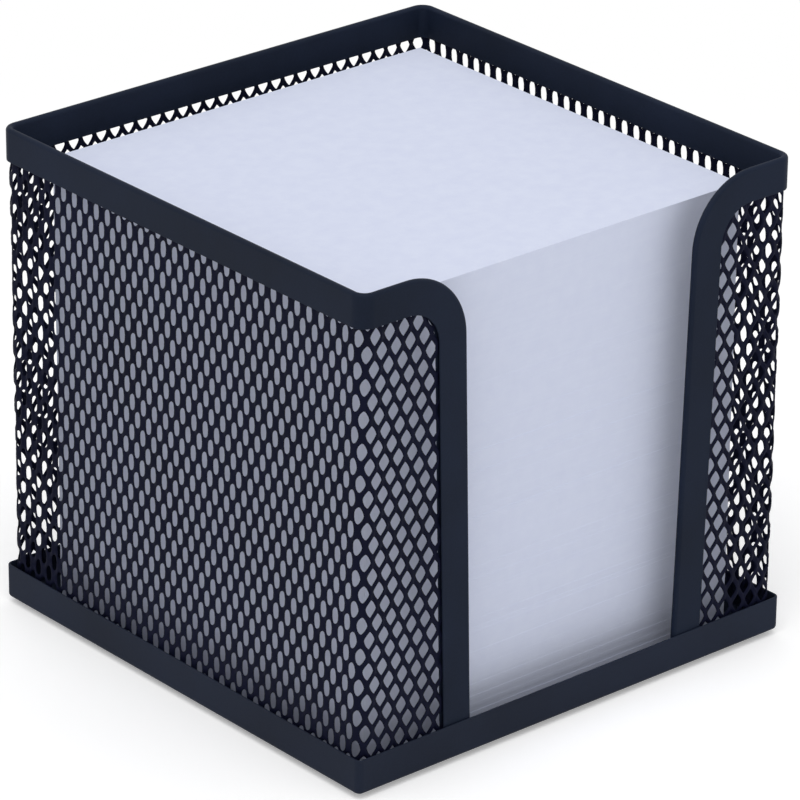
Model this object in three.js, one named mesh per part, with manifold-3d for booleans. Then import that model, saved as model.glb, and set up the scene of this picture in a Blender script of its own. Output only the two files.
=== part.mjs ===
// A desk holder of expanded steel mesh for a cube of loose note sheets.
// Millimetres, +Z up. The finger slot faces -Y, and the origin is on the desk, under the middle of the base.
// One mesh strip wraps the back, the sides and two short front wings. A pressed tray carries it, and a
// folded steel channel binds its top edge and both edges of the slot.
import * as THREE from 'three';
import { mergeVertices } from 'three/addons/utils/BufferGeometryUtils.js';
import Module from 'manifold-3d';

const wasm = await Module();
wasm.setup();

// The note sheets, which set the size of everything round them
const sheetSide = 90;
const sheetThickness = 0.1;
const stackHeight = 91;
const sheetRoom = 5.65;
const sheafDrift = 0.18;
const sheafStep = 0.4;
const sheafAcrossShares = [0, 0.6, -0.5, 0.2, -0.9, 0.4, 0.9, -0.3, 0.1, -0.7, 0.5, 0];
const sheafDeepShares = [0, -0.4, 0.3, 0.9, -0.2, -0.8, 0.1, 0.6, -0.6, 0.3, -0.1, 0];

// The expanded mesh: its overall depth, its strands, and the pitch that its holes are fitted to. Its lengths
// are divided on the flats, at the inset from each bend, so that a bend keeps whole strands.
const meshDepth = 0.5;
const strandWidth = 1.6;
const meshPitchAlong = 8.2;
const meshPitchUp = 15.4;
const strandLeanShare = 0.35;
const cutOverrun = 2.4;
const seamInset = 2.5;

// The folded channel that binds the mesh
const channelSkin = 0.35;
const channelFit = 0.1;
const channelBand = 6.6;
const rimAboveSheets = 5.9;
const rimInnerCorner = 1.6;
const shoulderInnerRadius = 7.2;
const wingFlat = 7.75;
const slotSpread = 2.2;

// The pressed tray and the pads that it stands on
const traySkin = 0.4;
const trayFit = 0.05;
const trayLipHeight = 7;
const trayInnerBend = 0.4;
const trayCornerRadius = 1.8;
const padThickness = 1;
const padRadius = 6;
const padInset = 13;

// How finely the round stretches are divided
const cornerSteps = 4;
const shoulderSteps = 9;
const foldSteps = 6;
const trayCornerSteps = 4;
const trayBendSteps = 3;
const lipSteps = 4;
const padSides = 24;

// Half widths, from the sheets outwards
const halfSheet = sheetSide / 2;
const channelGap = meshDepth + channelFit * 2;
const channelThickness = channelGap + channelSkin * 2;
const rimOuterHalf = halfSheet + sheetRoom + channelThickness;
const trayHalf = rimOuterHalf + trayFit + traySkin;

// The upright bends of rim and mesh share one axis, so their radii follow each other
const rimOuterCorner = rimInnerCorner + channelThickness;
const meshOuterCorner = rimOuterCorner - channelSkin - channelFit;
const meshInnerCorner = meshOuterCorner - meshDepth;
const meshMidCorner = meshOuterCorner - meshDepth / 2;
const bendAxis = rimOuterHalf - rimOuterCorner;
const meshMidHalf = bendAxis + meshMidCorner;

// Heights, from the desk upwards
const trayUnderside = padThickness;
const trayFloor = trayUnderside + traySkin;
const lipTop = trayUnderside + trayLipHeight;
const stackTop = trayFloor + stackHeight;
const rimTop = stackTop + rimAboveSheets;
const meshInset = channelThickness / 2 + channelFit;
const meshTop = rimTop - meshInset;
const trimFoot = trayFloor + trayInnerBend;

// The slot's edge is level along the wing, turns down round the shoulder and leans in to the tray
const shoulderRadius = shoulderInnerRadius + channelBand;
const shoulderX = bendAxis - wingFlat;
const shoulderZ = rimTop - shoulderRadius;
const slotLean = Math.atan2(slotSpread, shoulderZ - lipTop);

// The holes are fitted evenly from bend to bend, and from the tray's lip to the rim's band
const quarterTurn = Math.PI / 2;
const wallRun = bendAxis * 2;
const bendRun = meshMidCorner * quarterTurn;
const columnsPerWall = Math.round((wallRun + bendRun) / meshPitchAlong);
const columnStep = (wallRun + bendRun) / columnsPerWall / 2;
const rowCount = Math.round((rimTop - channelBand - lipTop) / (meshPitchUp / 2));
const rowStep = (rimTop - channelBand - lipTop) / rowCount;
const holeShare = 1 - (strandWidth * Math.hypot(columnStep, rowStep)) / (columnStep * rowStep) / 2;
const holeHalfWidth = columnStep * holeShare;
const holeHalfHeight = rowStep * holeShare;

// Satin powder coat, plain paper and dark foam rubber
const paint = { color: 0x222936, roughness: 0.45, metalness: 0.2 };
const meshPaint = { color: 0x1b202b, roughness: 0.5, metalness: 0.2 };
const paper = { color: 0xd9ddec, roughness: 0.9, metalness: 0 };
const rubber = { color: 0x1d1d1f, roughness: 0.85, metalness: 0 };

const up = new THREE.Vector3(0, 0, 1);
const holder = new THREE.Group();

function addPiece(name, geometry, look) {
  const piece = new THREE.Mesh(geometry, new THREE.MeshStandardMaterial(look));
  piece.name = name;
  holder.add(piece);
}

function enclosedVolume(positions, index) {
  const corner = (k) => new THREE.Vector3().fromArray(positions, index[k] * 3);
  let sum = 0;
  for (let k = 0; k < index.length; k += 3) {
    sum += corner(k).dot(corner(k + 1).cross(corner(k + 2)));
  }
  return sum / 6;
}

// A closed surface through rings of equal count, capped at both ends, with its faces outwards
function skin(rings, capOutline) {
  const count = rings[0].length;
  const positions = rings.flat().flatMap((point) => point.toArray());
  const index = [];
  for (let i = 0; i + 1 < rings.length; i += 1) {
    for (let j = 0; j < count; j += 1) {
      const here = i * count + j;
      const beside = i * count + ((j + 1) % count);
      index.push(here, beside, beside + count, here, beside + count, here + count);
    }
  }
  const last = (rings.length - 1) * count;
  for (const [a, b, c] of THREE.ShapeUtils.triangulateShape(capOutline, [])) {
    index.push(a, c, b, last + a, last + b, last + c);
  }
  if (enclosedVolume(positions, index) < 0) index.reverse();
  const geometry = new THREE.BufferGeometry();
  geometry.setAttribute('position', new THREE.Float32BufferAttribute(positions, 3));
  geometry.setIndex(index);
  geometry.computeVertexNormals();
  return geometry;
}

// The channel in section: x is how far through the wall, y how far in from the folded edge
function channelSection() {
  const middle = channelThickness / 2;
  const fold = (radius, share) => {
    const angle = Math.PI * share;
    return new THREE.Vector2(middle - radius * Math.cos(angle), middle - radius * Math.sin(angle));
  };
  const shares = Array.from({ length: foldSteps + 1 }, (_, i) => i / foldSteps);
  return [
    new THREE.Vector2(0, channelBand),
    ...shares.map((share) => fold(middle, share)),
    new THREE.Vector2(channelThickness, channelBand),
    new THREE.Vector2(channelThickness - channelSkin, channelBand),
    ...shares.map((share) => fold(channelGap / 2, 1 - share)),
    new THREE.Vector2(channelSkin, channelBand),
  ];
}

const section = channelSection();

// A length of channel through stations, each of which places a point of the section
function channelLength(stations) {
  return skin(stations.map((place) => section.map((point) => place(point.x, point.y))), section);
}

// A station on a level rim: wall 0 faces +X, and each next wall is a quarter turn on
function levelStation(wall, along) {
  return (through, inward) => new THREE.Vector3(rimOuterHalf - through, along, rimTop - inward)
    .applyAxisAngle(up, wall * quarterTurn);
}

// A station in the bend that follows that wall
function bendStation(wall, share) {
  const angle = share * quarterTurn;
  return (through, inward) => {
    const radius = rimOuterCorner - through;
    const x = bendAxis + radius * Math.cos(angle);
    const y = bendAxis + radius * Math.sin(angle);
    return new THREE.Vector3(x, y, rimTop - inward).applyAxisAngle(up, wall * quarterTurn);
  };
}

// The slot's edge on the right wing, as points in X and Z that lie so far in from it
function shoulderPoint(share, inward) {
  const angle = quarterTurn + share * (quarterTurn - slotLean);
  const radius = shoulderRadius - inward;
  return new THREE.Vector2(shoulderX + radius * Math.cos(angle), shoulderZ + radius * Math.sin(angle));
}

function trimPoint(z, inward) {
  const start = shoulderPoint(1, inward);
  return new THREE.Vector2(start.x - (start.y - z) * Math.tan(slotLean), z);
}

// How far a point of the wing lies in from the slot's edge or the rim's top
function depthInWing(x, z) {
  const acrossX = x - shoulderX;
  const aboveZ = z - shoulderZ;
  if (acrossX < 0 && aboveZ > 0) return shoulderRadius - Math.hypot(acrossX, aboveZ);
  const fromSlot = shoulderRadius + acrossX * Math.cos(slotLean) - aboveZ * Math.sin(slotLean);
  return Math.min(rimTop - z, fromSlot);
}

function wingStation(side, edgePoint) {
  return (through, inward) => {
    const point = edgePoint(inward);
    return new THREE.Vector3(side * point.x, through - rimOuterHalf, point.y);
  };
}

function addRim() {
  const straight = (wall) => channelLength([levelStation(wall, -bendAxis), levelStation(wall, bendAxis)]);
  const bend = (wall) => {
    const stations = [];
    for (let i = 0; i <= cornerSteps; i += 1) stations.push(bendStation(wall, i / cornerSteps));
    return channelLength(stations);
  };
  ['right', 'back', 'left'].forEach((name, wall) => addPiece(`rim_${name}`, straight(wall), paint));
  ['back_right', 'back_left', 'front_left', 'front_right'].forEach((name, wall) => {
    addPiece(`rim_corner_${name}`, bend(wall), paint);
  });
}

function addSlotBinding(name, side) {
  const flat = [
    wingStation(side, (inward) => new THREE.Vector2(bendAxis, rimTop - inward)),
    wingStation(side, (inward) => shoulderPoint(0, inward)),
  ];
  const shoulder = [];
  for (let i = 0; i <= shoulderSteps; i += 1) {
    shoulder.push(wingStation(side, (inward) => shoulderPoint(i / shoulderSteps, inward)));
  }
  const trim = [
    shoulder[shoulderSteps],
    wingStation(side, (inward) => trimPoint(trimFoot, inward)),
  ];
  addPiece(`rim_front_${name}`, channelLength(flat), paint);
  addPiece(`shoulder_${name}`, channelLength(shoulder), paint);
  addPiece(`slot_trim_${name}`, channelLength(trim), paint);
}

function toSolid(geometry) {
  const bare = geometry.clone();
  bare.deleteAttribute('normal');
  bare.deleteAttribute('uv');
  const merged = mergeVertices(bare);
  return new wasm.Manifold(new wasm.Mesh({
    numProp: 3,
    vertProperties: new Float32Array(merged.attributes.position.array),
    triVerts: new Uint32Array(merged.index.array),
  }));
}

function toGeometry(solid) {
  const mesh = solid.getMesh();
  const geometry = new THREE.BufferGeometry();
  geometry.setAttribute('position', new THREE.BufferAttribute(mesh.vertProperties, 3));
  geometry.setIndex(new THREE.BufferAttribute(mesh.triVerts, 1));
  geometry.computeVertexNormals();
  return geometry;
}

// The strip is three legs, numbered from nought: a wall and its bend make a leg, and a wing is the last
const lastLeg = 2;

// Where the middle of the mesh strip runs, and the angle that it faces. The way along starts at the middle
// of the back wall and is positive towards the left.
function stripPlace(along) {
  const run = Math.abs(along) + bendAxis;
  const leg = Math.min(Math.floor(run / (wallRun + bendRun)), lastLeg);
  const rest = run - leg * (wallRun + bendRun);
  const straight = leg < lastLeg ? Math.min(rest, wallRun) : rest;
  const turned = quarterTurn + (rest - straight) / meshMidCorner;
  const place = new THREE.Vector3(bendAxis - straight, bendAxis, 0);
  place.add(new THREE.Vector3(Math.cos(turned), Math.sin(turned), 0).multiplyScalar(meshMidCorner));
  place.applyAxisAngle(up, leg * quarterTurn);
  const facing = turned + leg * quarterTurn;
  if (along >= 0) return { x: place.x, y: place.y, facing };
  return { x: -place.x, y: place.y, facing: Math.PI - facing };
}

// The frame of a wall: x runs along it, y is up and z points out of it
function wallFrame(x, y, z, facing) {
  const alongWall = new THREE.Vector3(-Math.sin(facing), Math.cos(facing), 0);
  const outward = new THREE.Vector3(Math.cos(facing), Math.sin(facing), 0);
  return new THREE.Matrix4().makeBasis(alongWall, up, outward).setPosition(x, y, z);
}

function plateFrom(outline, depth, frame) {
  const geometry = new THREE.ExtrudeGeometry(new THREE.Shape(outline), { depth, bevelEnabled: false });
  geometry.translate(0, 0, -depth / 2);
  return geometry.applyMatrix4(frame);
}

// A hole is a diamond whose way through leans, as the strands of raised mesh do
function holeCutter(along, z) {
  const outline = [
    new THREE.Vector2(holeHalfWidth, 0),
    new THREE.Vector2(0, holeHalfHeight),
    new THREE.Vector2(-holeHalfWidth, 0),
    new THREE.Vector2(0, -holeHalfHeight),
  ];
  const { x, y, facing } = stripPlace(along);
  const lean = new THREE.Matrix4().makeShear(0, 0, 0, 0, -strandLeanShare, 0);
  const frame = wallFrame(x, y, z, facing).multiply(lean);
  return plateFrom(outline, meshDepth + cutOverrun * 2, frame);
}

function clearOfEdges(along, z) {
  const { x } = stripPlace(along);
  const reach = [[-holeHalfWidth, 0], [holeHalfWidth, 0], [0, -holeHalfHeight], [0, holeHalfHeight]];
  const depths = reach.map(([across, rise]) => depthInWing(Math.abs(x) + across, z + rise));
  return Math.min(...depths) > meshInset + strandWidth / 2;
}

const wingStart = wallRun + bendRun * 2 + bendAxis;
const wingEnd = wingStart + bendAxis - trimPoint(trimFoot, 0).x;

// Cuts the holes of the strip that reach the stretch between two places along it
function perforate(plate, from, to) {
  let solid = toSolid(plate);
  const lastColumn = Math.floor(wingEnd / columnStep);
  for (let row = 0; row < rowCount; row += 1) {
    const z = lipTop + (row + 0.5) * rowStep;
    for (let column = -lastColumn; column <= lastColumn; column += 1) {
      const along = column * columnStep;
      const near = along > from - columnStep && along < to + columnStep;
      const onWing = Math.abs(along) > wingStart;
      const staggered = (column + row) % 2 === 0;
      if (near && staggered && (!onWing || clearOfEdges(along, z))) {
        solid = solid.subtract(toSolid(holeCutter(along, z)));
      }
    }
  }
  return toGeometry(solid);
}

function wallPlate(facing) {
  const end = bendAxis - seamInset;
  const outline = [
    new THREE.Vector2(-end, trayFloor),
    new THREE.Vector2(end, trayFloor),
    new THREE.Vector2(end, meshTop),
    new THREE.Vector2(-end, meshTop),
  ];
  const frame = wallFrame(meshMidHalf * Math.cos(facing), meshMidHalf * Math.sin(facing), 0, facing);
  return plateFrom(outline, meshDepth, frame);
}

// A quarter of a mesh tube with a short flat at each end, standing in the bend that starts at this angle
function bendPlate(start) {
  const side = (radius) => {
    const points = [new THREE.Vector2(radius, -seamInset)];
    for (let i = 0; i <= cornerSteps; i += 1) {
      const angle = (quarterTurn * i) / cornerSteps;
      points.push(new THREE.Vector2(radius * Math.cos(angle), radius * Math.sin(angle)));
    }
    points.push(new THREE.Vector2(-seamInset, radius));
    return points;
  };
  const outline = [...side(meshOuterCorner), ...side(meshInnerCorner).reverse()];
  outline.forEach((point) => point.rotateAround(new THREE.Vector2(), start));
  const height = meshTop - trayFloor;
  const geometry = new THREE.ExtrudeGeometry(new THREE.Shape(outline), { depth: height, bevelEnabled: false });
  const middle = start + quarterTurn / 2;
  const x = bendAxis * Math.sign(Math.cos(middle));
  const y = bendAxis * Math.sign(Math.sin(middle));
  return geometry.translate(x, y, trayFloor);
}

// The wing's outer edge follows the fold of the channel that it sits in
function wingPlate(side) {
  const outline = [
    new THREE.Vector2(bendAxis - seamInset, trayFloor),
    new THREE.Vector2(bendAxis - seamInset, meshTop),
  ];
  for (let i = 0; i <= shoulderSteps; i += 1) outline.push(shoulderPoint(i / shoulderSteps, meshInset));
  outline.push(trimPoint(trayFloor, meshInset));
  const placed = outline.map((point) => new THREE.Vector2(side * point.x, point.y));
  return plateFrom(placed, meshDepth, wallFrame(0, -meshMidHalf, 0, -quarterTurn));
}

function addMesh() {
  const firstBend = bendAxis - seamInset;
  const sideStart = firstBend + bendRun + seamInset * 2;
  const sideEnd = sideStart + wallRun - seamInset * 2;
  const lastBend = wingStart + seamInset;
  addPiece('mesh_back', perforate(wallPlate(quarterTurn), -firstBend, firstBend), meshPaint);
  for (const [name, side] of [['left', 1], ['right', -1]]) {
    const stretch = (plate, from, to) => perforate(plate, Math.min(side * from, side * to),
      Math.max(side * from, side * to));
    const facing = side > 0 ? quarterTurn * 2 : 0;
    const backBend = side > 0 ? quarterTurn : 0;
    const frontBend = side > 0 ? quarterTurn * 2 : quarterTurn * 3;
    addPiece(`mesh_corner_back_${name}`, stretch(bendPlate(backBend), firstBend, sideStart), meshPaint);
    addPiece(`mesh_${name}`, stretch(wallPlate(facing), sideStart, sideEnd), meshPaint);
    addPiece(`mesh_corner_front_${name}`, stretch(bendPlate(frontBend), sideEnd, lastBend), meshPaint);
    addPiece(`mesh_front_${name}`, stretch(wingPlate(-side), lastBend, wingEnd), meshPaint);
  }
}

// A square ring with round corners, drawn in from the tray's outer face
function trayRing(inset, z) {
  const ring = [];
  for (let corner = 0; corner < 4; corner += 1) {
    for (let i = 0; i <= trayCornerSteps; i += 1) {
      const angle = (corner + i / trayCornerSteps) * quarterTurn;
      const centre = new THREE.Vector2(1, 1).rotateAround(new THREE.Vector2(), corner * quarterTurn);
      const radius = trayCornerRadius - inset;
      centre.multiplyScalar(trayHalf - trayCornerRadius);
      ring.push(new THREE.Vector3(centre.x + radius * Math.cos(angle), centre.y + radius * Math.sin(angle), z));
    }
  }
  return ring;
}

// The pan runs from its underside round the bend, up the lip, over its rounded edge and down to the floor
function addTray() {
  const outerBend = trayInnerBend + traySkin;
  const rings = [];
  for (let i = 0; i <= trayBendSteps; i += 1) {
    const angle = (quarterTurn * i) / trayBendSteps;
    rings.push(trayRing(outerBend * (1 - Math.sin(angle)), trayUnderside + outerBend * (1 - Math.cos(angle))));
  }
  for (let i = 0; i <= lipSteps; i += 1) {
    const angle = (Math.PI * i) / lipSteps;
    const inset = (traySkin / 2) * (1 - Math.cos(angle));
    rings.push(trayRing(inset, lipTop - (traySkin / 2) * (1 - Math.sin(angle))));
  }
  for (let i = trayBendSteps; i >= 0; i -= 1) {
    const angle = (quarterTurn * i) / trayBendSteps;
    const inset = traySkin + trayInnerBend * (1 - Math.sin(angle));
    rings.push(trayRing(inset, trayFloor + trayInnerBend * (1 - Math.cos(angle))));
  }
  const capOutline = rings[0].map((point) => new THREE.Vector2(point.x, point.y));
  addPiece('base_tray', skin(rings, capOutline), paint);
}

function addPads() {
  const reach = trayHalf - padInset;
  for (const [depth, y] of [['front', -reach], ['back', reach]]) {
    for (const [name, x] of [['left', -reach], ['right', reach]]) {
      const pad = new THREE.CylinderGeometry(padRadius, padRadius, padThickness, padSides);
      pad.rotateX(quarterTurn).translate(x, y, padThickness / 2);
      addPiece(`pad_${depth}_${name}`, pad, rubber);
    }
  }
}

// A sheaf of sheets lies a little out of line with the one below it
function sheetRing(across, deep, z) {
  return [[-1, -1], [1, -1], [1, 1], [-1, 1]].map(([signX, signY]) => new THREE.Vector3(
    signX * halfSheet + across * sheafDrift,
    signY * halfSheet + deep * sheafDrift,
    z,
  ));
}

function addSheets() {
  const blockTop = stackTop - sheetThickness;
  const sheafHeight = (blockTop - trayFloor) / sheafAcrossShares.length;
  const rings = [];
  sheafAcrossShares.forEach((across, i) => {
    const deep = sheafDeepShares[i];
    const isLast = i + 1 === sheafAcrossShares.length;
    rings.push(sheetRing(across, deep, trayFloor + i * sheafHeight));
    rings.push(sheetRing(across, deep, isLast ? blockTop : trayFloor + (i + 1) * sheafHeight - sheafStep));
  });
  const capOutline = rings[0].map((point) => new THREE.Vector2(point.x, point.y));
  addPiece('memo_block', skin(rings, capOutline), paper);
  const sheet = new THREE.BoxGeometry(sheetSide, sheetSide, sheetThickness);
  addPiece('top_sheet', sheet.translate(0, 0, stackTop - sheetThickness / 2), paper);
}

addTray();
addPads();
addMesh();
addRim();
addSlotBinding('left', -1);
addSlotBinding('right', 1);
addSheets();

export default holder;
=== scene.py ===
import math

import bpy
import numpy as np
from mathutils import Matrix, Vector


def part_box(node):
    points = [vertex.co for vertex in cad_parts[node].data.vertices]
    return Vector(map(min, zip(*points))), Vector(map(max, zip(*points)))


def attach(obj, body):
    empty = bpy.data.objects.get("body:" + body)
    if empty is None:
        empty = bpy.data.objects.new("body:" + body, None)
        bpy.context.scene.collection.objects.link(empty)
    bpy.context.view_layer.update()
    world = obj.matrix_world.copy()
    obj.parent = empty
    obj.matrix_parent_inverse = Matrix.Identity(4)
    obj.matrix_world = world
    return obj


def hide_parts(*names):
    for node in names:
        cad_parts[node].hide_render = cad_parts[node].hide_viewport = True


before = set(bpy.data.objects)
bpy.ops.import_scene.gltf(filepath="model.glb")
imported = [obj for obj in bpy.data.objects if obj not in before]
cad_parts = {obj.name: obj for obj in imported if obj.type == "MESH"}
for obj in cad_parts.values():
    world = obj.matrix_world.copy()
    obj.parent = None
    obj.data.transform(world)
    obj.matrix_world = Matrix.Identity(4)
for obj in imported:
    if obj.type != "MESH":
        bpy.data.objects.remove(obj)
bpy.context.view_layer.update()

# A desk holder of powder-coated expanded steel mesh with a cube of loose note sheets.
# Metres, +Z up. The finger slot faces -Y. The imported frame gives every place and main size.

MM = 0.001
QUARTER_TURN = math.pi / 2
HALF_TURN = math.pi
FULL_TURN = 2 * math.pi


# Sizes read from the frame

def low_high(node):
    """The lowest and highest corner of a node, as two arrays."""
    low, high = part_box(node)
    return np.array(low), np.array(high)


tray_low, tray_high = low_high("base_tray")
rim_low, rim_high = low_high("rim_left")
mesh_low, mesh_high = low_high("mesh_left")
shoulder_high = low_high("shoulder_right")[1]
trim_low = low_high("slot_trim_right")[0]
block_low, block_high = low_high("memo_block")
sheet_low, sheet_high = low_high("top_sheet")

TRAY_HALF = tray_high[0]
TRAY_UNDERSIDE = tray_low[2]
LIP_TOP = tray_high[2]
RIM_HALF = -rim_low[0]
RIM_TOP = rim_high[2]
CHANNEL_BAND = rim_high[2] - rim_low[2]
CHANNEL_THICKNESS = rim_high[0] - rim_low[0]
SHOULDER_X = shoulder_high[0]
TRIM_FOOT_X = trim_low[0]
TRIM_FOOT_Z = trim_low[2]
SHEET_HALF = (sheet_high[0] - sheet_low[0]) / 2
# The upright bends have their axes this far from the middle, in X and in Y. The rim's corner radius goes to
# the channel's outside, the mesh's to its middle, and the seams lie on the flats beside the bends.
BEND_AXIS = rim_high[1]
RIM_CORNER = RIM_HALF - BEND_AXIS
MESH_CORNER = -(mesh_low[0] + mesh_high[0]) / 2 - BEND_AXIS
SEAM_INSET = BEND_AXIS - mesh_high[1]

# Sizes of the finished surface that the boxes of the nodes don't give
CHANNEL_SKIN = 0.35 * MM
SHOULDER_INNER_RADIUS = 7.2 * MM
SHOULDER_RADIUS = SHOULDER_INNER_RADIUS + CHANNEL_BAND
SHOULDER_Z = RIM_TOP - SHOULDER_RADIUS
TRAY_SKIN = 0.4 * MM
TRAY_INNER_BEND = 0.4 * MM
TRAY_CORNER = 1.3 * MM
PAD_EDGE = 0.25 * MM

# Shading: the angle past which an edge shows sharp, and how far the larger faces lead at a shared corner
SHARP_EDGE = math.radians(85)
LARGE_FACE_WEIGHT = 100

# The expanded mesh: pitches, hole, strand, and the lean of bonds and strands. The hole is a superellipse,
# whose exponent would be 1 for a diamond and 2 for an ellipse.
PITCH_ALONG = 3.275 * MM
PITCH_UP = 6.19 * MM
HOLE_HALF_WIDTH = 0.98 * MM
HOLE_HALF_HEIGHT = 1.68 * MM
HOLE_EXPONENT = 1.5
HOLE_SEGMENTS = 16
STRAND_THICKNESS = 0.3 * MM
BOND_LEAN = math.radians(22)
STRAND_LEAN = math.radians(-22)
# The strand's rounded edge: how far it starts on the way from the strand's middle to the hole, and how much
# of the thickness is left there
EDGE_START_SHARE = 0.62
EDGE_THICKNESS_SHARE = 0.86
# Where the lattice lies: one hole's middle, the lean of its columns, and how far its rows drift up or down
# along the strip, which was cut and bent a little askew
LATTICE_ALONG = 2.6 * MM
LATTICE_UP = 90.2 * MM
COLUMN_LEAN = math.radians(2.4)
ROW_DRIFT_ALONG = np.array([-150, -60, -40, 0, 50, 147, 175]) * MM
ROW_DRIFT_UP = np.array([-0.3, -0.3, 0.9, 1.1, 1.0, -3.7, -3.3]) * MM
# How far the lowest cells keep off the tray's floor, and how close together two points count as one
TRAY_CLEARANCE = 0.2 * MM
SAME_POINT = 0.002 * MM

# The note sheets, drawn as sheaves. Each sheaf drifts by itself within a limit. The stack leans by a sine of
# the height: its reach, its shares in X and Y, and how far the sine runs. Both fade out at the top.
SHEAF_COUNT = 110
DRIFT_SEED = 7
DRIFT_LIMIT = 0.05 * MM
DRIFT_SPREAD_SHARE = 0.3
LEAN_REACH = 0.05 * MM
LEAN_WAY_SHARES = np.array([1.0, -0.7])
LEAN_SWEEP = 5.2
TOP_FADE_POWER = 8
# The loose sheet's dip: its depth, the sweep and start of its two waves, and how late it fades at the border
DIP_DEPTH = 0.03 * MM
DIP_SWEEP_X = 2.3
DIP_START_X = 0.8
DIP_SWEEP_Y = 1.9
DIP_START_Y = 0.4
DIP_FADE_POWER = 6

# The camera stands far off with a long lens and looks at the holder's middle. Blender takes its sensor and
# lens in millimetres.
SENSOR = 36.0
CAMERA_AZIMUTH = math.radians(-40.859)
CAMERA_ELEVATION = math.radians(24.478)
CAMERA_ROLL = math.radians(0.588)
CAMERA_DISTANCE = 1036.8 * MM
CAMERA_LENS = 247.95
CAMERA_AIM = (0.0, 0.0, 48 * MM)
CAMERA_SIDESTEP = 1.342 * MM
CAMERA_RISE = -2.174 * MM
CAMERA_NEAR = 0.05
CAMERA_FAR = 20

# Light: the world's level, and the lamp's place and power
WORLD_LEVEL = 0.68
LAMP_AIM = (0.0, 0.0, 50 * MM)
LAMP_AZIMUTH = math.radians(-50)
LAMP_ELEVATION = math.radians(68)
LAMP_DISTANCE = 1.6
LAMP_SIZE = 1.2
LAMP_POWER = 8.6

# The floor: how far it reaches, how far it lies below the pads so that the planes don't coincide, where it
# fades into the white beyond, and how much its seen tone is lifted
FLOOR_RADIUS = 2.5
FLOOR_DROP = 0.05 * MM
FADE_START = 0.09
FADE_END = 0.3
FLOOR_LIFT = 0.27


# Meshes from computed surfaces

def grid_quads(rows, columns, close_columns=False):
    """The quads of a grid of points numbered row by row. Closed columns join the last to the first."""
    row = np.arange(rows - 1)[:, None]
    column = np.arange(columns if close_columns else columns - 1)[None, :]
    following = (column + 1) % columns
    corners = [row * columns + column, row * columns + following,
               (row + 1) * columns + following, (row + 1) * columns + column]
    return np.stack(np.broadcast_arrays(*corners), -1).reshape(-1, 4)


def new_piece(name, points, quads, caps, material, role):
    """A finished piece, with its place in its mesh. role gives its body, its slot, which is not used, and
    the CAD nodes that it stands for."""
    body, slot, nodes = role
    mesh = bpy.data.meshes.new(name)
    mesh.from_pydata(points.reshape(-1, 3).tolist(), [], quads.tolist() + caps)
    mesh.polygons.foreach_set("use_smooth", np.ones(len(mesh.polygons), bool))
    mesh.set_sharp_from_angle(angle=SHARP_EDGE)
    mesh.materials.append(material)
    mesh.update()
    piece = bpy.data.objects.new(name, mesh)
    bpy.context.scene.collection.objects.link(piece)
    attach(piece, body)
    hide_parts(*nodes)
    return piece


def ringed_piece(name, rings, material, role):
    """A piece whose skin runs from ring to ring, with a face that closes each end. The first end's face is
    turned against its ring's own order."""
    rows, columns = rings.shape[:2]
    first = np.arange(columns)
    caps = [first[::-1].tolist(), (first + (rows - 1) * columns).tolist()]
    return new_piece(name, rings, grid_quads(rows, columns, True), caps, material, role)


def even_shading(piece):
    """Flat stretches keep their own normals, so that only the round ones shade off."""
    modifier = piece.modifiers.new("even_shading", "WEIGHTED_NORMAL")
    modifier.weight = LARGE_FACE_WEIGHT
    modifier.keep_sharp = True


# The folded channel

def arc(centre_x, centre_y, radius, start, end, steps):
    """Points of a circle's arc, both ends among them."""
    angle = np.linspace(start, end, steps + 1)
    return np.stack([centre_x + radius * np.cos(angle), centre_y + radius * np.sin(angle)], -1)


def channel_section(fold_steps=14, edge_steps=5):
    """The channel in section, as points (through the wall, in from the fold).
    A half circle of the whole thickness folds over the mesh, two flanges run down from it, each ends in a
    half circle of its own skin, and the inside follows at one skin's depth."""
    middle = CHANNEL_THICKNESS / 2
    edge = CHANNEL_SKIN / 2
    foot = CHANNEL_BAND - edge
    outside = arc(middle, middle, middle, HALF_TURN, FULL_TURN, fold_steps)
    inner_edge = arc(CHANNEL_THICKNESS - edge, foot, edge, 0, HALF_TURN, edge_steps)
    inside = arc(middle, middle, middle - CHANNEL_SKIN, FULL_TURN, HALF_TURN, fold_steps)
    outer_edge = arc(edge, foot, edge, 0, HALF_TURN, edge_steps)
    return np.concatenate([outside, inner_edge, inside, outer_edge])


def slot_lean():
    """The trim's lean: the line from its foot that touches the shoulder's outer circle."""
    across = SHOULDER_X - TRIM_FOOT_X
    rise = SHOULDER_Z - TRIM_FOOT_Z
    return math.atan2(across, rise) - math.asin(SHOULDER_RADIUS / math.hypot(across, rise))


SLOT_LEAN = slot_lean()


def stations(origins, through, inward):
    """Stations of a path, each an origin, a way through the wall and a way in from the fold."""
    return np.stack(np.broadcast_arrays(np.atleast_2d(origins), through, inward), 1)


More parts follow.
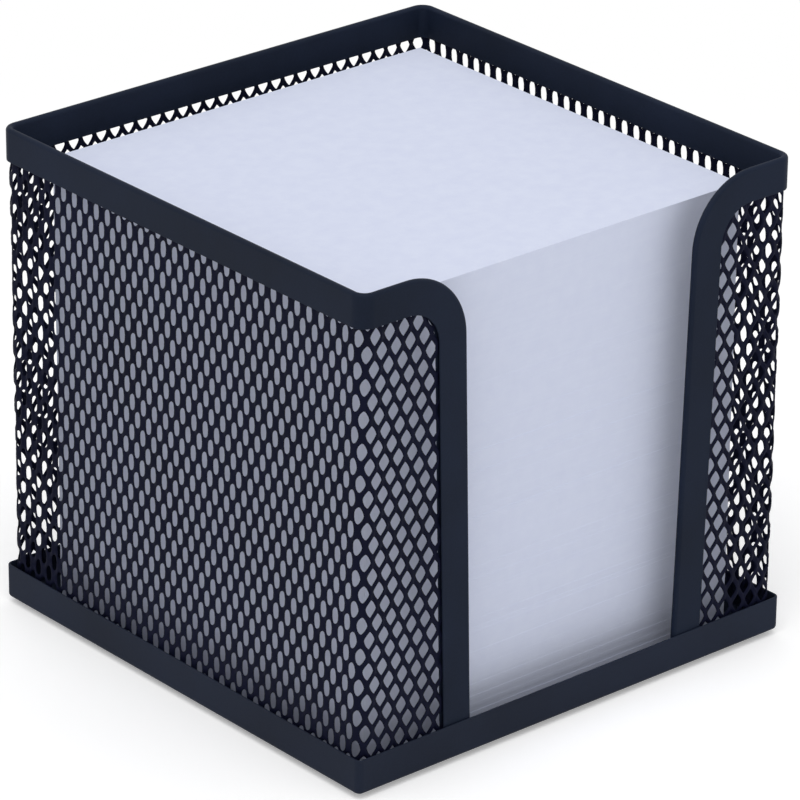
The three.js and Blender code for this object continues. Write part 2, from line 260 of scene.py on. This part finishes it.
def half_channel_path(corner_steps=14, shoulder_steps=22):
    """Half of the channel's path along its outer top edge, from the middle of the back wall to the foot of
    the left trim. A bend is its axis + corner radius * the way that the wall faces. The shoulder is an arc
    in the front wall. The foot is cut level, so its way in is level too, and longer by 1 / cos(lean)."""
    down = np.array([0.0, 0.0, -1.0])
    backward = np.array([0.0, 1.0, 0.0])

    def bend(axis_y, start):
        angle = np.linspace(start, start + QUARTER_TURN, corner_steps + 1)
        facing = np.stack([np.cos(angle), np.sin(angle), np.zeros(len(angle))], -1)
        return stations(np.array([-BEND_AXIS, axis_y, RIM_TOP]) + RIM_CORNER * facing, -facing, down)

    angle = np.linspace(0, QUARTER_TURN - SLOT_LEAN, shoulder_steps + 1)
    outward = np.stack([np.sin(angle), np.zeros(len(angle)), np.cos(angle)], -1)
    shoulder = np.array([-SHOULDER_X, -RIM_HALF, SHOULDER_Z]) + SHOULDER_RADIUS * outward
    foot_x = shoulder[-1, 0] + (shoulder[-1, 2] - TRIM_FOOT_Z) * math.tan(SLOT_LEAN)
    return np.concatenate([
        stations([0.0, RIM_HALF, RIM_TOP], -backward, down),
        bend(BEND_AXIS, QUARTER_TURN),
        bend(-BEND_AXIS, HALF_TURN),
        stations(shoulder, backward, -outward),
        stations([foot_x, -RIM_HALF, TRIM_FOOT_Z], backward, [-1 / math.cos(SLOT_LEAN), 0.0, 0.0])])


def build_channel(material):
    """The one folded strip round the rim and down both edges of the slot: section carried along path, as
    origin + through * way through + in * way in, with both ends closed."""
    left = half_channel_path()
    right = left[1:] * np.array([-1.0, 1.0, 1.0])
    path = np.concatenate([left[::-1], right])
    section = channel_section()
    through, inward = section[None, :, :1], section[None, :, 1:]
    rings = path[:, None, 0] + through * path[:, None, 1] + inward * path[:, None, 2]
    nodes = [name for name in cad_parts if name.startswith(("rim_", "shoulder_", "slot_trim_"))]
    channel = ringed_piece("folded_channel", rings, material, ("holder", "coated_steel", nodes))
    even_shading(channel)


# The expanded mesh

# The strip's runs, along its middle. A wall with the bend after it is a leg: leg 0 is the back wall, leg 1 a
# side wall, and the last one a front wing.
WALL_RUN = 2 * BEND_AXIS
BEND_RUN = MESH_CORNER * QUARTER_TURN
WING_START = BEND_AXIS + 2 * BEND_RUN + WALL_RUN
LAST_LEG = 2


def strip_place(along, out):
    """Where a point of the strip lies. along starts in the middle of the back wall and is positive to the
    left, out is how far the point stands out of the strip's middle. Each leg is the first one turned by
    quarters: the point is its bend's axis plus (corner radius + out) along the way that it faces."""
    run = np.abs(along) + BEND_AXIS
    leg = np.clip(np.floor(run / (WALL_RUN + BEND_RUN)), 0, LAST_LEG)
    rest = run - leg * (WALL_RUN + BEND_RUN)
    straight = np.where(leg < LAST_LEG, np.minimum(rest, WALL_RUN), rest)
    turned = QUARTER_TURN + (rest - straight) / MESH_CORNER
    x = BEND_AXIS - straight + (MESH_CORNER + out) * np.cos(turned)
    y = BEND_AXIS + (MESH_CORNER + out) * np.sin(turned)
    turn = leg * QUARTER_TURN
    placed_x = x * np.cos(turn) - y * np.sin(turn)
    placed_y = x * np.sin(turn) + y * np.cos(turn)
    return np.where(along >= 0, placed_x, -placed_x), placed_y


def relief(u, w):
    """How far the sheet stands out at (u, w) from a hole's middle: sin(2 pi u / pitch) times
    (bond * cos(2 pi w / pitch) + strand * distance from the strand's middle * |sin(2 pi w / pitch)|).
    So each bond leans one way about the vertical, and each strand is twisted the other way."""
    bond = math.tan(BOND_LEAN) * PITCH_ALONG / FULL_TURN
    half_along, half_up = PITCH_ALONG / 2, PITCH_UP / 2
    steepness = math.hypot(1 / half_along, 1 / half_up)
    from_middle = (1 - np.abs(u) / half_along - np.abs(w) / half_up) / steepness
    phase = FULL_TURN * w / PITCH_UP
    twist = math.tan(STRAND_LEAN) * from_middle * np.abs(np.sin(phase))
    return np.sin(FULL_TURN * u / PITCH_ALONG) * (bond * np.cos(phase) + twist)


def hole_cell():
    """One cell of the mesh as rings of points (u, w, out), from the middle of the strands to the hole's edge
    and back behind it. The outer ring is the rhombus through the four bonds, the inner one the hole."""
    share = np.arange(HOLE_SEGMENTS) / (HOLE_SEGMENTS / 4)
    quarter = np.floor(share).astype(int)
    part = share - quarter
    flip_u = np.where((quarter == 1) | (quarter == 2), -1.0, 1.0)
    flip_w = np.where(quarter >= 2, -1.0, 1.0)
    rise = np.where(quarter % 2 == 0, part, 1 - part)
    outer = np.stack([flip_u * (1 - rise) * PITCH_ALONG / 2, flip_w * rise * PITCH_UP / 2], -1)
    power = 2 / HOLE_EXPONENT
    inner = np.stack([flip_u * HOLE_HALF_WIDTH * np.cos(rise * QUARTER_TURN) ** power,
                      flip_w * HOLE_HALF_HEIGHT * np.sin(rise * QUARTER_TURN) ** power], -1)
    face = STRAND_THICKNESS / 2
    edge = face * EDGE_THICKNESS_SHARE
    inward = np.array([0.0, EDGE_START_SHARE, 1.0, EDGE_START_SHARE, 0.0])
    offset = np.array([face, edge, 0.0, -edge, -face])
    flat = outer + (inner - outer) * inward[:, None, None]
    out = relief(flat[..., 0], flat[..., 1]) + offset[:, None]
    return np.concatenate([flat, out[..., None]], -1)


def depth_in_wing(x, z):
    """How far a point of a front wing lies in from the folded edge of the channel round it."""
    across = x - SHOULDER_X
    above = z - SHOULDER_Z
    in_round = (across < 0) & (above > 0)
    from_round = SHOULDER_RADIUS - np.hypot(across, above)
    from_slot = SHOULDER_RADIUS + across * math.cos(SLOT_LEAN) - above * math.sin(SLOT_LEAN)
    return np.where(in_round, from_round, np.minimum(RIM_TOP - z, from_slot))


def on_strip(u, w):
    """Where a lattice point (u, w) lies on the strip: along = u + w * tan(column lean), z = w + drift(u)."""
    drift = np.interp(u, ROW_DRIFT_ALONG, ROW_DRIFT_UP)
    return u + w * math.tan(COLUMN_LEAN), LATTICE_UP + w + drift


def lattice_cells():
    """The lattice middles (u, w) of all the holes between the tray's floor and the channel's fold. Places
    are counted in half pitches, past the strip's ends both ways, and every second one is a hole."""
    reach_along = int(2 * (WING_START + BEND_AXIS) / PITCH_ALONG)
    reach_up = int(2 * RIM_TOP / PITCH_UP)
    i, j = np.meshgrid(np.arange(-reach_along, reach_along), np.arange(-reach_up, reach_up), indexing="ij")
    keep = (i + j) % 2 == 0
    u = LATTICE_ALONG + i[keep] * PITCH_ALONG / 2
    w = j[keep] * PITCH_UP / 2
    along, z = on_strip(u, w)
    foot = TRAY_UNDERSIDE + TRAY_SKIN + TRAY_CLEARANCE
    fold = RIM_TOP - CHANNEL_SKIN
    inside = (z - PITCH_UP / 2 > foot) & (z + PITCH_UP / 2 < fold)
    on_wing = np.abs(along) > WING_START - PITCH_ALONG
    x = BEND_AXIS - (np.abs(along) - WING_START)
    corners = [(0, 1), (0, -1), (-1, 0), (1, 0)]
    depth = np.min([depth_in_wing(x + a * PITCH_ALONG / 2, z + b * PITCH_UP / 2) for a, b in corners], 0)
    inside &= ~on_wing | ((depth > CHANNEL_SKIN) & (x > 0))
    return u[inside], w[inside]


def mesh_length(name, u, w, material):
    """The cells of one length of mesh, joined where they meet and closed round their outline. An edge that
    only one cell uses lies on the outline, and gets a wall from the front to the back of the strand."""
    cell = hole_cell()
    rings, segments = cell.shape[:2]
    along, z = on_strip(u[:, None, None] + cell[..., 0], w[:, None, None] + cell[..., 1])
    x, y = strip_place(along, cell[..., 2])
    points = np.stack([x, y, z], -1).reshape(-1, 3)
    first_point = np.arange(len(u))[:, None] * rings * segments
    cells = (first_point[..., None] + grid_quads(rings, segments, True)).reshape(-1, 4)

    places = np.round(points / SAME_POINT)
    first, joined = np.unique(places, axis=0, return_index=True, return_inverse=True)[1:]
    joined = joined.reshape(-1)
    front = first_point + np.arange(segments)
    back = front + (rings - 1) * segments
    walls = np.stack([front, back, np.roll(back, -1, 1), np.roll(front, -1, 1)], -1).reshape(-1, 4)
    edges = np.sort(joined[walls][:, [0, 3]], 1)
    which, uses = np.unique(edges, axis=0, return_inverse=True, return_counts=True)[1:]
    outline = joined[walls][uses[which.reshape(-1)] == 1]
    quads = np.concatenate([joined[cells], outline])
    new_piece(f"expanded_{name}", points[first], quads, [], material, ("holder", "coated_mesh", [name]))


def build_mesh(material):
    """Nine lengths, divided where the CAD divides the strip: on the flats, at an inset from each bend."""
    u, w = lattice_cells()
    along = on_strip(u, w)[0]
    distance = np.abs(along)
    marks = [BEND_AXIS - SEAM_INSET, BEND_AXIS + BEND_RUN + SEAM_INSET,
             BEND_AXIS + BEND_RUN + WALL_RUN - SEAM_INSET, WING_START + SEAM_INSET, math.inf]
    on_back = distance <= marks[0]
    mesh_length("mesh_back", u[on_back], w[on_back], material)
    for i, part in enumerate(["corner_back_", "", "corner_front_", "front_"]):
        in_part = (distance > marks[i]) & (distance <= marks[i + 1])
        for side, sign in (("left", 1), ("right", -1)):
            chosen = in_part & (np.sign(along) == sign)
            mesh_length(f"mesh_{part}{side}", u[chosen], w[chosen], material)


# The pressed tray and its pads

def square_ring(half, radius, steps=8):
    """A square ring with round corners, as points in X and Y."""
    angle = (np.arange(4)[:, None] + np.linspace(0, 1, steps + 1)[None, :]) * QUARTER_TURN
    middle = (np.arange(4) + 0.5) * QUARTER_TURN
    centre = np.sign(np.stack([np.cos(middle), np.sin(middle)], -1)) * (half - radius)
    ring = centre[:, None] + radius * np.stack([np.cos(angle), np.sin(angle)], -1)
    return ring.reshape(-1, 2)


def build_tray(material, bend_steps=6, lip_steps=8):
    """A pan whose wall goes round the outer bend, up the lip, over its round edge and down to the floor:
    square rings, each with its inset from the outside and its height."""
    outer_bend = TRAY_INNER_BEND + TRAY_SKIN
    turn = np.linspace(0, QUARTER_TURN, bend_steps + 1)
    over = np.linspace(0, HALF_TURN, lip_steps + 1)
    outside = np.stack([outer_bend * (1 - np.sin(turn)),
                        TRAY_UNDERSIDE + outer_bend * (1 - np.cos(turn))], -1)
    edge = np.stack([TRAY_SKIN / 2 * (1 - np.cos(over)),
                     LIP_TOP - TRAY_SKIN / 2 * (1 - np.sin(over))], -1)
    floor = TRAY_UNDERSIDE + TRAY_SKIN
    inside = np.stack([TRAY_SKIN + TRAY_INNER_BEND * (1 - np.sin(turn[::-1])),
                       floor + TRAY_INNER_BEND * (1 - np.cos(turn[::-1]))], -1)
    rings = []
    for inset, height in np.concatenate([outside, edge, inside]):
        flat = square_ring(TRAY_HALF - inset, TRAY_CORNER - inset)
        rings.append(np.column_stack([flat, np.full(len(flat), height)]))
    tray = ringed_piece("pressed_tray", np.stack(rings), material, ("holder", "coated_steel", ["base_tray"]))
    even_shading(tray)


def build_pads(material, sides=48, steps=4):
    """Each pad is a disc with rounded edges: its profile turned about the pad's own axis."""
    angle = np.arange(sides) * FULL_TURN / sides
    around = np.stack([np.cos(angle), np.sin(angle)], -1)
    turn = np.linspace(0, QUARTER_TURN, steps + 1)
    for corner in ("front_left", "front_right", "back_left", "back_right"):
        low, high = low_high(f"pad_{corner}")
        radius = (high[0] - low[0]) / 2
        lower = np.stack([radius - PAD_EDGE * (1 - np.sin(turn)),
                          low[2] + PAD_EDGE * (1 - np.cos(turn))], -1)
        upper = np.stack([lower[::-1, 0], low[2] + high[2] - lower[::-1, 1]], -1)
        profile = np.concatenate([lower, upper])
        flat = profile[:, None, :1] * around + (low[:2] + high[:2]) / 2
        height = np.broadcast_to(profile[:, None, 1:], flat.shape[:2] + (1,))
        pad = ringed_piece(f"foam_pad_{corner}", np.concatenate([flat, height], -1), material,
                           ("holder", "foam_rubber", [f"pad_{corner}"]))
        even_shading(pad)


# The note sheets

def build_block(material):
    """A stack of thin square sheaves, each shifted by (seeded drift + reach * shares * sin(sweep * rise)) *
    (1 - rise ** power), where rise goes from 0 at the foot to 1 under the loose sheet."""
    rise = np.linspace(0, 1, SHEAF_COUNT)[:, None]
    spread = np.random.default_rng(DRIFT_SEED).normal(0, DRIFT_SPREAD_SHARE, (SHEAF_COUNT, 2))
    drift = spread.clip(-1, 1) * DRIFT_LIMIT
    lean = np.sin(LEAN_SWEEP * rise) * LEAN_WAY_SHARES * LEAN_REACH
    shift = (drift + lean) * (1 - rise ** TOP_FADE_POWER)
    heights = np.linspace(block_low[2], block_high[2], SHEAF_COUNT + 1)
    square = np.array([[-1, -1], [1, -1], [1, 1], [-1, 1]]) * SHEET_HALF
    flat = np.repeat(square[None] + shift[:, None], 2, axis=0)
    level = np.repeat(heights, 2)[1:-1]
    rings = np.concatenate([flat, np.broadcast_to(level[:, None, None], flat.shape[:2] + (1,))], -1)
    ringed_piece("note_block", rings, material, ("memo_stack", "note_paper", ["memo_block"]))


def build_top_sheet(material, side=41):
    """A thin square whose upper face dips by a few hundredths of a millimetre: depth * (0.5 + 0.5 * cos(x) *
    sin(y)), which fades out towards the border by 1 - distance from the middle ** power."""
    across = np.linspace(-1, 1, side)
    x, y = np.meshgrid(across, across, indexing="ij")
    wave = np.cos(DIP_SWEEP_X * x + DIP_START_X) * np.sin(DIP_SWEEP_Y * y + DIP_START_Y)
    dip = DIP_DEPTH * (0.5 + 0.5 * wave)
    dip *= 1 - np.maximum(np.abs(x), np.abs(y)) ** DIP_FADE_POWER
    top = np.stack([x * SHEET_HALF, y * SHEET_HALF, sheet_high[2] - dip], -1)
    under = np.stack([x * SHEET_HALF, y * SHEET_HALF, np.full(x.shape, sheet_low[2])], -1)
    points = np.concatenate([under.reshape(-1, 3), top.reshape(-1, 3)])
    index = np.arange(side * side).reshape(side, side)
    border = np.concatenate([index[:-1, 0], index[-1, :-1], index[:0:-1, -1], index[0, :0:-1]])
    following = np.roll(border, -1)
    above = side * side
    walls = np.stack([border, following, following + above, border + above], -1)
    flats = grid_quads(side, side)
    quads = np.concatenate([flats, flats[:, ::-1] + above, walls])
    new_piece("loose_top_sheet", points, quads, [], material, ("loose_sheet", "note_paper", ["top_sheet"]))


# Materials

# The powder coat: its patterns, how deep they are, how much the grain adds to the tone, and how rough it is
COAT_CLOUD = 22 * MM
COAT_PEEL = 1.5 * MM
COAT_PEEL_DEPTH = 0.04 * MM
COAT_GRAIN = 0.4 * MM
COAT_GRAIN_DEPTH = 0.02 * MM
COAT_GRAIN_SHARE = 0.3
COAT_ROUGHNESS = 0.5
COAT_ROUGHNESS_SPREAD = 0.04

# The paper: its patterns and how deep they are. The sides of the stack have the lines of its sheets as well:
# how much they add to the tone and to the height, and how slowly they change along a sheet
PAPER_FORMATION = 3 * MM
PAPER_FIBRE = 0.3 * MM
PAPER_DEPTH = 0.02 * MM
SHEET_LINE = 0.4 * MM
LINE_TONE_SHARE = 0.28
LINE_HEIGHT_SHARE = 0.5
LINE_SLOWNESS_SHARE = 0.012

# The foam's cut cells
FOAM_CELL = 0.5 * MM
FOAM_CELL_DEPTH = 0.1 * MM

# The sweep's faint clouds, counted per metre
SWEEP_CLOUDS = 12.0


def linear(hex_colour):
    """An sRGB hex value as linear RGBA."""
    channels = [int(hex_colour[i:i + 2], 16) / 255 for i in (1, 3, 5)]
    return [c / 12.92 if c <= 0.04045 else ((c + 0.055) / 1.055) ** 2.4 for c in channels] + [1.0]


def add_node(tree, kind, settings=None, values=None, tones=()):
    """Adds a node with its settings. values gives sockets by name or number: a value, or an output to link.
    tones gives a colour ramp its two places with their hex tones."""
    node = tree.nodes.new(kind)
    for key, value in (settings or {}).items():
        setattr(node, key, value)
    for key, value in (values or {}).items():
        if isinstance(value, bpy.types.NodeSocket):
            tree.links.new(value, node.inputs[key])
        else:
            node.inputs[key].default_value = value
    for i, (position, tone) in enumerate(tones):
        node.color_ramp.elements[i].position = position
        node.color_ramp.elements[i].color = linear(tone)
    return node


def new_material(name):
    """An empty material and its node tree."""
    material = bpy.data.materials.new(name)
    material.use_nodes = True
    material.node_tree.nodes.clear()
    return material, material.node_tree


def powder_coat(name, dark, light, specular):
    """Satin black polyester powder coat, sprayed dry and fused in the oven. It gives soft broad highlights
    over a faint orange peel of about 1.5 mm and a fine grain of 0.4 mm, with a blue cast."""
    material, tree = new_material(name)
    place = add_node(tree, "ShaderNodeTexCoord").outputs["Object"]
    cloud = add_node(tree, "ShaderNodeTexNoise", values={
        "Vector": place, "Scale": 1 / COAT_CLOUD, "Detail": 3.0, "Roughness": 0.55}).outputs["Fac"]
    peel = add_node(tree, "ShaderNodeTexNoise", values={
        "Vector": place, "Scale": 1 / COAT_PEEL, "Detail": 1.5, "Roughness": 0.5}).outputs["Fac"]
    grain = add_node(tree, "ShaderNodeTexNoise", values={
        "Vector": place, "Scale": 1 / COAT_GRAIN, "Detail": 2.0, "Roughness": 0.6}).outputs["Fac"]
    tone = add_node(tree, "ShaderNodeMix", {"data_type": "FLOAT"}, {
        0: COAT_GRAIN_SHARE, 2: cloud, 3: grain}).outputs[0]
    colour = add_node(tree, "ShaderNodeValToRGB", values={"Fac": tone},
                      tones=[(0.36, dark), (0.64, light)]).outputs["Color"]
    gloss = add_node(tree, "ShaderNodeMapRange", values={
        "Value": cloud, "From Min": 0.3, "From Max": 0.7,
        "To Min": COAT_ROUGHNESS - COAT_ROUGHNESS_SPREAD,
        "To Max": COAT_ROUGHNESS + COAT_ROUGHNESS_SPREAD}).outputs["Result"]
    fine = add_node(tree, "ShaderNodeBump", values={
        "Strength": 0.12, "Distance": COAT_GRAIN_DEPTH, "Height": grain}).outputs["Normal"]
    bump = add_node(tree, "ShaderNodeBump", values={
        "Strength": 0.3, "Distance": COAT_PEEL_DEPTH, "Height": peel, "Normal": fine}).outputs["Normal"]
    shader = add_node(tree, "ShaderNodeBsdfPrincipled", values={
        "Base Color": colour, "Roughness": gloss, "IOR": 1.5,
        "Specular IOR Level": specular, "Normal": bump})
    add_node(tree, "ShaderNodeOutputMaterial", values={"Surface": shader.outputs["BSDF"]})
    return material


def note_paper(name, stacked):
    """Uncoated white writing paper, calendered but unglazed: matt, with a cloudy formation of 3 mm and fibre
    of 0.3 mm. The stack's sides have the lines of its sheets, faint, and drawn four times coarser than the
    real 0.1 mm so that they show."""
    material, tree = new_material(name)
    place = add_node(tree, "ShaderNodeTexCoord").outputs["Object"]
    tone = add_node(tree, "ShaderNodeTexNoise", values={
        "Vector": place, "Scale": 1 / PAPER_FORMATION, "Detail": 4.0, "Roughness": 0.6}).outputs["Fac"]
    height = add_node(tree, "ShaderNodeTexNoise", values={
        "Vector": place, "Scale": 1 / PAPER_FIBRE, "Detail": 2.0, "Roughness": 0.5}).outputs["Fac"]
    if stacked:
        level = add_node(tree, "ShaderNodeMapping", values={
            "Vector": place, "Scale": (LINE_SLOWNESS_SHARE, LINE_SLOWNESS_SHARE, 1.0)}).outputs["Vector"]
        lines = add_node(tree, "ShaderNodeTexNoise", values={
            "Vector": level, "Scale": 1 / SHEET_LINE, "Detail": 2.0, "Roughness": 0.7}).outputs["Fac"]
        tone = add_node(tree, "ShaderNodeMix", {"data_type": "FLOAT"}, {
            0: LINE_TONE_SHARE, 2: tone, 3: lines}).outputs[0]
        height = add_node(tree, "ShaderNodeMix", {"data_type": "FLOAT"}, {
            0: LINE_HEIGHT_SHARE, 2: height, 3: lines}).outputs[0]
    colour = add_node(tree, "ShaderNodeValToRGB", values={"Fac": tone},
                      tones=[(0.3, "#d6dcf1"), (0.7, "#dbe1f4")]).outputs["Color"]
    bump = add_node(tree, "ShaderNodeBump", values={
        "Strength": 0.2, "Distance": PAPER_DEPTH, "Height": height}).outputs["Normal"]
    shader = add_node(tree, "ShaderNodeBsdfPrincipled", values={
        "Base Color": colour, "Roughness": 0.85, "IOR": 1.47, "Specular IOR Level": 0.25, "Normal": bump})
    add_node(tree, "ShaderNodeOutputMaterial", values={"Surface": shader.outputs["BSDF"]})
    return material


def foam_rubber(name):
    """Closed-cell foam rubber, die-cut from sheet: matt black, with open cut cells of about 0.5 mm. The
    cells' pits are painted darker, as painted shade.
    """
    material, tree = new_material(name)
    place = add_node(tree, "ShaderNodeTexCoord").outputs["Object"]
    cells = add_node(tree, "ShaderNodeTexVoronoi", values={
        "Vector": place, "Scale": 1 / FOAM_CELL}).outputs["Distance"]
    # The colour is darkest in each cell's pit: painted shade.
    colour = add_node(tree, "ShaderNodeValToRGB", values={"Fac": cells},
                      tones=[(0.0, "#141415"), (1.0, "#242426")]).outputs["Color"]
    bump = add_node(tree, "ShaderNodeBump", values={
        "Strength": 0.5, "Distance": FOAM_CELL_DEPTH, "Height": cells}).outputs["Normal"]
    shader = add_node(tree, "ShaderNodeBsdfPrincipled", values={
        "Base Color": colour, "Roughness": 0.9, "IOR": 1.5, "Specular IOR Level": 0.3, "Normal": bump})
    add_node(tree, "ShaderNodeOutputMaterial", values={"Surface": shader.outputs["BSDF"]})
    return material


# Camera, light and floor

def view_back(azimuth, elevation):
    """The way from the object to something that looks at it from this azimuth and elevation."""
    return np.array([math.sin(azimuth) * math.cos(elevation), -math.cos(azimuth) * math.cos(elevation),
                     math.sin(elevation)])


def add_camera():
    """The photograph's view, rolled a little and moved a little to the right and down."""
    back = view_back(CAMERA_AZIMUTH, CAMERA_ELEVATION)
    level_right = np.array([math.cos(CAMERA_AZIMUTH), math.sin(CAMERA_AZIMUTH), 0.0])
    level_up = np.cross(back, level_right)
    right = math.cos(CAMERA_ROLL) * level_right + math.sin(CAMERA_ROLL) * level_up
    up = math.cos(CAMERA_ROLL) * level_up - math.sin(CAMERA_ROLL) * level_right
    place = np.array(CAMERA_AIM) + back * CAMERA_DISTANCE + right * CAMERA_SIDESTEP + up * CAMERA_RISE
    data = bpy.data.cameras.new("camera")
    data.sensor_width = SENSOR
    data.lens = CAMERA_LENS
    data.clip_start = CAMERA_NEAR
    data.clip_end = CAMERA_FAR
    camera = bpy.data.objects.new("camera", data)
    matrix = np.eye(4)
    matrix[:3] = np.column_stack([right, up, back, place])
    camera.matrix_world = Matrix(matrix.tolist())
    bpy.context.scene.collection.objects.link(camera)
    bpy.context.scene.camera = camera


def add_world():
    """White where the camera, metal or glass looks at it, and a plain level where it only lights."""
    world = bpy.data.worlds.new("studio")
    bpy.context.scene.world = world
    world.use_nodes = True
    tree = world.node_tree
    tree.nodes.clear()
    path = add_node(tree, "ShaderNodeLightPath").outputs
    seen = path["Is Camera Ray"]
    for kind in ("Is Glossy Ray", "Is Transmission Ray"):
        seen = add_node(tree, "ShaderNodeMath", {"operation": "MAXIMUM"}, {
            0: seen, 1: path[kind]}).outputs[0]
    strength = add_node(tree, "ShaderNodeMapRange", values={
        "Value": seen, "To Min": WORLD_LEVEL, "To Max": 1.0}).outputs["Result"]
    light = add_node(tree, "ShaderNodeBackground", values={
        "Color": (1.0, 1.0, 1.0, 1.0), "Strength": strength})
    add_node(tree, "ShaderNodeOutputWorld", values={"Surface": light.outputs["Background"]})


def add_lamp():
    """A soft square lamp, high up, that looks at the holder's middle."""
    back = Vector(view_back(LAMP_AZIMUTH, LAMP_ELEVATION))
    data = bpy.data.lights.new("softbox", "AREA")
    data.shape = "SQUARE"
    data.size = LAMP_SIZE
    data.energy = LAMP_POWER
    lamp = bpy.data.objects.new("softbox", data)
    lamp.location = Vector(LAMP_AIM) + back * LAMP_DISTANCE
    lamp.rotation_mode = "QUATERNION"
    lamp.rotation_quaternion = back.to_track_quat("Z", "Y")
    bpy.context.scene.collection.objects.link(lamp)


def white_sweep():
    """Matt white paper sweep. The camera sees it lifted to full white, with the holder's shadow kept, and it
    fades into the white beyond."""
    material, tree = new_material("matt_white_sweep")
    place = add_node(tree, "ShaderNodeTexCoord").outputs["Object"]
    cloud = add_node(tree, "ShaderNodeTexNoise", values={
        "Vector": place, "Scale": SWEEP_CLOUDS, "Detail": 2.0}).outputs["Fac"]
    colour = add_node(tree, "ShaderNodeValToRGB", values={"Fac": cloud},
                      tones=[(0.0, "#f7f7f8"), (1.0, "#fbfbfb")]).outputs["Color"]
    matt = add_node(tree, "ShaderNodeBsdfDiffuse", values={"Color": colour}).outputs["BSDF"]
    seen = add_node(tree, "ShaderNodeLightPath").outputs["Is Camera Ray"]
    lift = add_node(tree, "ShaderNodeMath", {"operation": "MULTIPLY"}, {0: seen, 1: FLOOR_LIFT}).outputs[0]
    lifted = add_node(tree, "ShaderNodeEmission", values={"Strength": lift}).outputs["Emission"]
    near = add_node(tree, "ShaderNodeAddShader", values={0: matt, 1: lifted}).outputs["Shader"]
    reach = add_node(tree, "ShaderNodeVectorMath", {"operation": "LENGTH"}, {0: place}).outputs["Value"]
    fade = add_node(tree, "ShaderNodeMapRange", {"interpolation_type": "SMOOTHSTEP"}, {
        "Value": reach, "From Min": FADE_START, "From Max": FADE_END}).outputs["Result"]
    share = add_node(tree, "ShaderNodeMath", {"operation": "MULTIPLY"}, {0: fade, 1: seen}).outputs[0]
    white = add_node(tree, "ShaderNodeEmission", values={"Strength": 1.0}).outputs["Emission"]
    both = add_node(tree, "ShaderNodeMixShader", values={0: share, 1: near, 2: white}).outputs["Shader"]
    add_node(tree, "ShaderNodeOutputMaterial", values={"Surface": both})
    return material


def add_floor(sides=96, rings=24):
    """A round floor: rings whose radius grows with the square of their number, and a face in the middle."""
    angle = np.arange(sides) * FULL_TURN / sides
    radius = np.linspace(0, 1, rings + 1)[1:, None] ** 2 * FLOOR_RADIUS
    level = np.full((rings, sides), -FLOOR_DROP)
    points = np.stack([radius * np.cos(angle), radius * np.sin(angle), level], -1)
    quads = grid_quads(rings, sides, True)[:, ::-1]
    mesh = bpy.data.meshes.new("floor")
    mesh.from_pydata(points.reshape(-1, 3).tolist(), [], quads.tolist() + [list(range(sides))])
    mesh.materials.append(white_sweep())
    floor = bpy.data.objects.new("floor", mesh)
    bpy.context.scene.collection.objects.link(floor)


add_camera()
add_world()
add_lamp()
add_floor()
bpy.context.scene.view_settings.view_transform = "Standard"

coated_steel = powder_coat("satin_black_powder_coat", dark="#181f2d", light="#1e2637", specular=0.07)
# The tray's copy of the coat is painted lighter than the channel's: painted light, standing in for the
# brighter light that the tray catches.
tray_coat_painted_lighter = powder_coat("satin_black_powder_coat_painted_lighter_for_tray", dark="#1c2230", light="#222939", specular=0.09)
coated_mesh = powder_coat("powder_coated_expanded_mesh", dark="#0e1022", light="#13162b", specular=0.05)
build_channel(coated_steel)
build_mesh(coated_mesh)
build_tray(tray_coat_painted_lighter)
build_pads(foam_rubber("black_foam_rubber"))
build_block(note_paper("stacked_note_paper", stacked=True))
build_top_sheet(note_paper("loose_note_paper", stacked=False))
